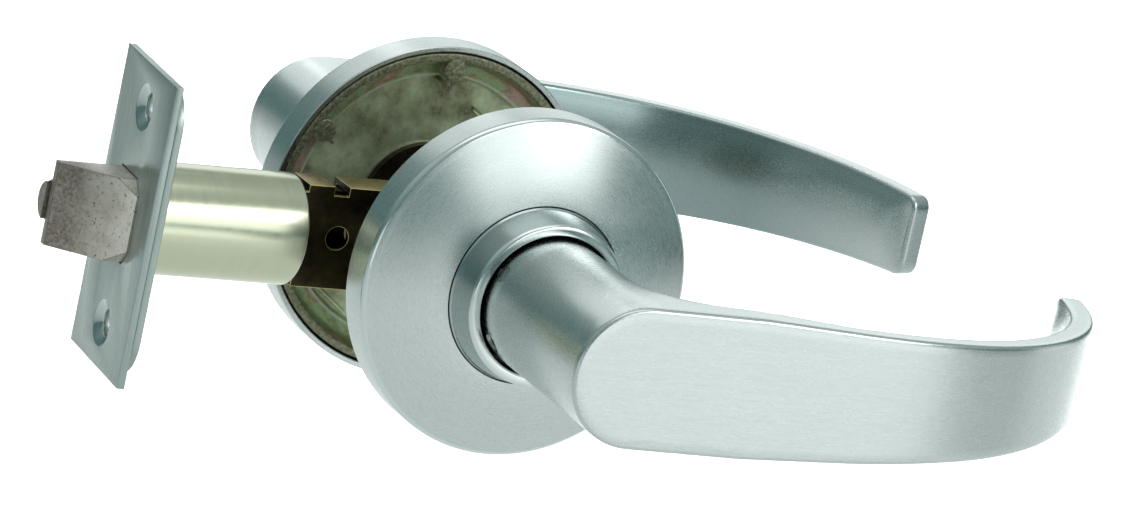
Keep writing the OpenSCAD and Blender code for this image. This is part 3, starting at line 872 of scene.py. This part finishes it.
def blade_back(top):
    """Back of the blade in columns from the neck to the tip, crowned between its ends."""
    columns = []
    for place, out in top:
        s, z = inset(place, out, EDGE_R)
        crown = BACK_CROWN * ramp(s, NECK_S, NECK_S + 12) * ramp(LEVER_LEN - s, 0, 6)
        columns.append([on_grip(s, thickness(s) + crown * (1 - (j / HALF_ROWS) ** 2),
                                z * j / HALF_ROWS) for j in range(-HALF_ROWS, HALF_ROWS + 1)])
    return columns


def neck_starts(wall_end, edge_rings, columns):
    """The points round the shank that the neck's curves start from, each with its lean.

    They are the wall's end and the first column of the back. A lean of 0 starts a curve towards
    the door, and a lean of 1 along the back of the blade.
    """
    arc_count = ARC_STEPS - 1
    starts = [(point, 0.0) for point in wall_end[:arc_count]]
    starts += [(wall_end[arc_count + k], k / NECK_STEPS) for k in range(NECK_STEPS + 1)]
    column = [ring[0] for ring in edge_rings[1:]] + columns[0][::-1][1:-1] \
        + [ring[-1] for ring in edge_rings[1:]][::-1]
    starts += [(point, 1.0) for point in column]
    starts += [(wall_end[-1 - k], k / NECK_STEPS) for k in range(NECK_STEPS, -1, -1)]
    return starts


def neck_curves(starts):
    """Smooth curves from the starts down to a ring round the shank."""
    lengths = [0.0]
    for (p, _), (q, _) in zip(starts, starts[1:]):
        lengths.append(lengths[-1] + (Vector(q) - Vector(p)).length)
    left_end = ARC_STEPS - 1
    right_length = lengths[-1] - lengths[left_end]
    to_door = Vector((0, -1, 0))
    curves = []
    for k, (point, lean) in enumerate(starts):
        if k < left_end:
            angle = math.radians(270 - 180 * (k + 1) / ARC_STEPS)
        else:
            angle = math.radians(90 - 180 * (lengths[k] - lengths[left_end]) / right_length)
        foot = Vector((SHANK_R * math.cos(angle), NECK_T, SHANK_R * math.sin(angle)))
        tilt = math.pi / 2 * ramp(lean, 0, 1)
        out = Vector((-math.sin(tilt), -math.cos(tilt), 0))
        curves.append([hermite(Vector(point), foot, out, to_door, u / CURVE_STEPS)
                       for u in range(CURVE_STEPS + 1)])
    return curves


def make_lever(side_name):
    """Round shank that flares into a flat grip, with the grip's tip bent back to the door."""
    side = SIDES[side_name]

    def spots(rows):
        return [[at(side, *point) for point in row] for row in rows]

    skin = Skin(f"{side_name}_lever_body")
    arc, top, tip, bottom = grip_outline()
    disc, face = outer_face(top)
    skin.patch(spots(disc))
    skin.patch(spots(face))
    rings = side_rings(arc + top + tip + bottom[::-1])
    skin.patch(spots(rings), closed=True)
    edge_rings = back_edge(top[NECK_STEPS:] + tip + bottom[NECK_STEPS:][::-1])
    skin.patch(spots(edge_rings))
    back = blade_back(top[NECK_STEPS:])
    skin.patch(spots(back))
    curves = neck_curves(neck_starts(rings[-1], edge_rings, back))
    skin.patch(spots(zip(*curves)), closed=True)

    # Shank, its mouth and the bore that takes the sleeve.
    angles = [math.atan2(curve[-1].z, curve[-1].x) for curve in curves]
    mouth = [(SHANK_R, NECK_T), (SHANK_R, 26), (SHANK_R, SHANK_BASE + 0.4),
             (SHANK_R - 0.4, SHANK_BASE), (SLEEVE_R + 0.3, SHANK_BASE),
             (SLEEVE_R, SHANK_BASE + 0.3), (SLEEVE_R, BORE_TOP), (SLEEVE_R / 2, BORE_TOP),
             (0.0, BORE_TOP)]
    skin.patch(spots([(r * math.cos(a), t, r * math.sin(a)) for a in angles] for r, t in mouth),
               closed=True)
    piece = skin.build(38)

    drills = []
    for name, (degrees, radius) in PINS.items():
        a = math.radians(degrees)
        ends = [at(side, r * math.cos(a), PIN_T, r * math.sin(a)) for r in (SLEEVE_R - 2, SHANK_R + 4)]
        drills.append(rod(f"{side_name}_{name}_drill", ends[0], ends[1], radius * MM))
    cut(piece, drills)
    shade(piece.data, 38)
    return settle(piece, "lever_set", [f"{side_name}_lever"], looks["lever"])


# ---------------------------------------------------------------- latch

def make_tube():
    """Plated tube with its far end rolled inwards."""
    x0, x1 = tube_lo.x / MM + 0.7, tube_hi.x / MM
    bore_r = TUBE_R - 0.8
    roll_r = bore_r - 0.25
    points = [(bore_r, x0), (TUBE_R, x0), (TUBE_R, x1), (roll_r, x1), (roll_r, x1 - 0.5),
              (bore_r, x1 - 1.2)]
    outline = rounded(points, [0, 0, 1.1, 0.2, 0.2, 0.4], 6)
    piece = spin("latch_tube_shell", outline, around_latch, 160)
    return settle(piece, "lock_body", ["latch_tube"], looks["tube"])


def make_latch_pieces():
    """Faceplate, backing plate, bolt and folded case, each with the finishes that the photo shows."""
    plate = softened("faceplate", "faceplate_plate", 0.16 * MM, looks["plate"])
    settle(plate, "lock_body", ["faceplate"])

    def in_screw_hole(centre, normal):
        near = math.hypot(centre.y, abs(centre.z) - SCREW_Z) < COUNTERSINK_R
        return near and abs(normal.x) < 0.9

    refinish(plate, looks["countersink"], in_screw_hole)
    backing = softened("backing_plate", "backing_plate_plate", 0.2 * MM, looks["plate"])
    settle(backing, "lock_body", ["backing_plate"])
    # The bolt's rounded edges take a near-black brown: painted shade.
    bolt = softened("latch_bolt", "latch_bolt_head", 0.45 * MM, looks["bolt"], looks["bolt_edge_painted_shade"])
    settle(bolt, "bolt_and_bar", ["latch_bolt"])

    # A dark disc closes the far side of the hole in the case: painted shade inside the hole. The
    # case's walls take a near-black film, painted shade; their rounded edges take gold, a painted
    # highlight; and the folded flanges, whose faces look up or down, are paler: painted light.
    walls = softened("latch_case", "latch_case_walls", 0.4 * MM, looks["case"], looks["gold"])
    ends = [Vector((CASE_HOLE_X, y, 0)) * MM for y in CASE_COVER_Y]
    cover = rod("case_hole_painted_shade_disc", ends[0], ends[1], CASE_COVER_R * MM)
    case = merged("latch_case_body", [walls, cover], looks["case"], looks["gold"])
    settle(case, "lock_body", ["latch_case"])
    refinish(case, looks["case_top_painted_light"], lambda centre, normal: abs(normal.z) > 0.95)


# The outside plate has holes for the mounting posts, and the inside one for the thinner bolts.
make_mounting_plate("outside", 3.25)
make_mounting_plate("inside", 2.2)
for name in SIDES:
    make_rose(name)
    make_collar(name)
    make_lever(name)
make_tube()
make_latch_pieces()

# Nodes that keep their CAD shape take the finish of their record slot.
SLOT_LOOKS = {"satin_chrome": "plate", "satin_nickel": "tube", "bolt_metal": "bolt",
              "cast_zinc": "cast", "yellow_zinc": "case", "plain_steel": "steel"}
for part in frame["record"]["subparts"]:
    node = frame["nodes"][part["node"]]
    node.data.materials.clear()
    node.data.materials.append(looks[SLOT_LOOKS[part["material_slot"]]])


# ---------------------------------------------------------------- floor, light and camera

def make_floor():
    """A plain pale floor well below the lockset, which hangs as it would in a door."""
    drop = 0.25
    half = 8.0
    z = cad_lo.z - drop
    mesh = bpy.data.meshes.new("floor")
    mesh.from_pydata([(-half, -half, z), (half, -half, z), (half, half, z), (-half, half, z)],
                     [], [(0, 1, 2, 3)])
    floor = placed("floor", mesh)
    paint = Paint("pale_floor", metallic=0.0, roughness=0.9)
    paint.shader.inputs["Base Color"].default_value = (0.93, 0.93, 0.93, 1)
    mesh.materials.append(paint.material)


def make_world():
    """Pale above and darker greenish below, so that the metal has something to reflect."""
    world = bpy.data.worlds.new("studio")
    bpy.context.scene.world = world
    world.use_nodes = True
    tree = world.node_tree
    background = tree.nodes["Background"]
    coords = tree.nodes.new("ShaderNodeTexCoord")
    split = tree.nodes.new("ShaderNodeSeparateXYZ")
    fade = tree.nodes.new("ShaderNodeValToRGB")
    # The direction's height runs from -1 at the bottom of the sky to 1 at its top.
    spread = tree.nodes.new("ShaderNodeMapRange")
    spread.inputs[1].default_value = -1.0
    tree.links.new(coords.outputs["Generated"], split.inputs[0])
    tree.links.new(split.outputs[2], spread.inputs[0])
    tree.links.new(spread.outputs[0], fade.inputs[0])
    tree.links.new(fade.outputs[0], background.inputs[0])
    elements = fade.color_ramp.elements
    elements[0].position = 0.60
    elements[0].color = (0.11, 0.20, 0.195, 1)
    elements[1].position = 0.95
    elements[1].color = (0.50, 0.55, 0.54, 1)


def soft_light(name, place, aim, size, radiance, spread_deg=180):
    """A rectangular soft box, as bright as a white card of the given radiance."""
    data = bpy.data.lights.new(name, "AREA")
    data.shape = "RECTANGLE"
    data.size, data.size_y = size
    data.energy = radiance * math.pi * size[0] * size[1]
    data.spread = math.radians(spread_deg)
    light = placed(name, data)
    light.location = place
    light.rotation_euler = (Vector(aim) - Vector(place)).to_track_quat("-Z", "Y").to_euler()


def make_camera():
    """Long lens from the outside left, a little above, with the horizon leaning.

    The numbers were worked out from the faceplate's corners and the two round roses.
    """
    target = Vector((0.0096, -0.0200, 0.0047))
    azimuth, elevation, roll = math.radians(-27.9), math.radians(14.43), math.radians(12.2)
    distance = 1.2895
    back = Vector((math.sin(azimuth) * math.cos(elevation),
                   -math.cos(azimuth) * math.cos(elevation), math.sin(elevation)))
    data = bpy.data.cameras.new("camera")
    data.sensor_width = 36
    data.lens = 224
    camera = placed("camera", data)
    camera.rotation_mode = "QUATERNION"
    camera.location = target + back * distance
    lean = Matrix.Rotation(roll, 4, "Z").to_quaternion()
    camera.rotation_quaternion = (-back).to_track_quat("-Z", "Y") @ lean
    bpy.context.scene.camera = camera


CENTRE = (0, 0, 0)

make_floor()
make_world()
soft_light("key", (0.40, -1.04, 0.44), CENTRE, (0.85, 0.60), 1.45)
soft_light("high", (0.70, -0.95, 0.84), CENTRE, (0.60, 0.42), 3.6)
soft_light("fill", (0.47, -1.06, -0.11), CENTRE, (0.95, 0.27), 1.1)
soft_light("left", (-0.75, -0.85, -0.04), CENTRE, (0.5, 0.32), 0.65)
soft_light("right", (1.30, 0.05, 0.10), CENTRE, (0.55, 0.7), 0.5)
soft_light("top", (-0.1, -0.2, 1.7), (0, 0, -0.2), (1.4, 1.2), 0.8)
soft_light("rear", (0.66, 1.22, 0.42), (0, 0, 0.1), (1.1, 0.7), 0.95)
soft_light("rear_left", (-0.05, 1.15, 0.72), CENTRE, (0.7, 0.55), 0.7)
soft_light("backdrop", (0.60, 1.20, 1.0), (0.60, 1.20, -0.3), (0.8, 0.9), 4.0, 90)
make_camera()
bpy.context.scene.view_settings.view_transform = "Standard"
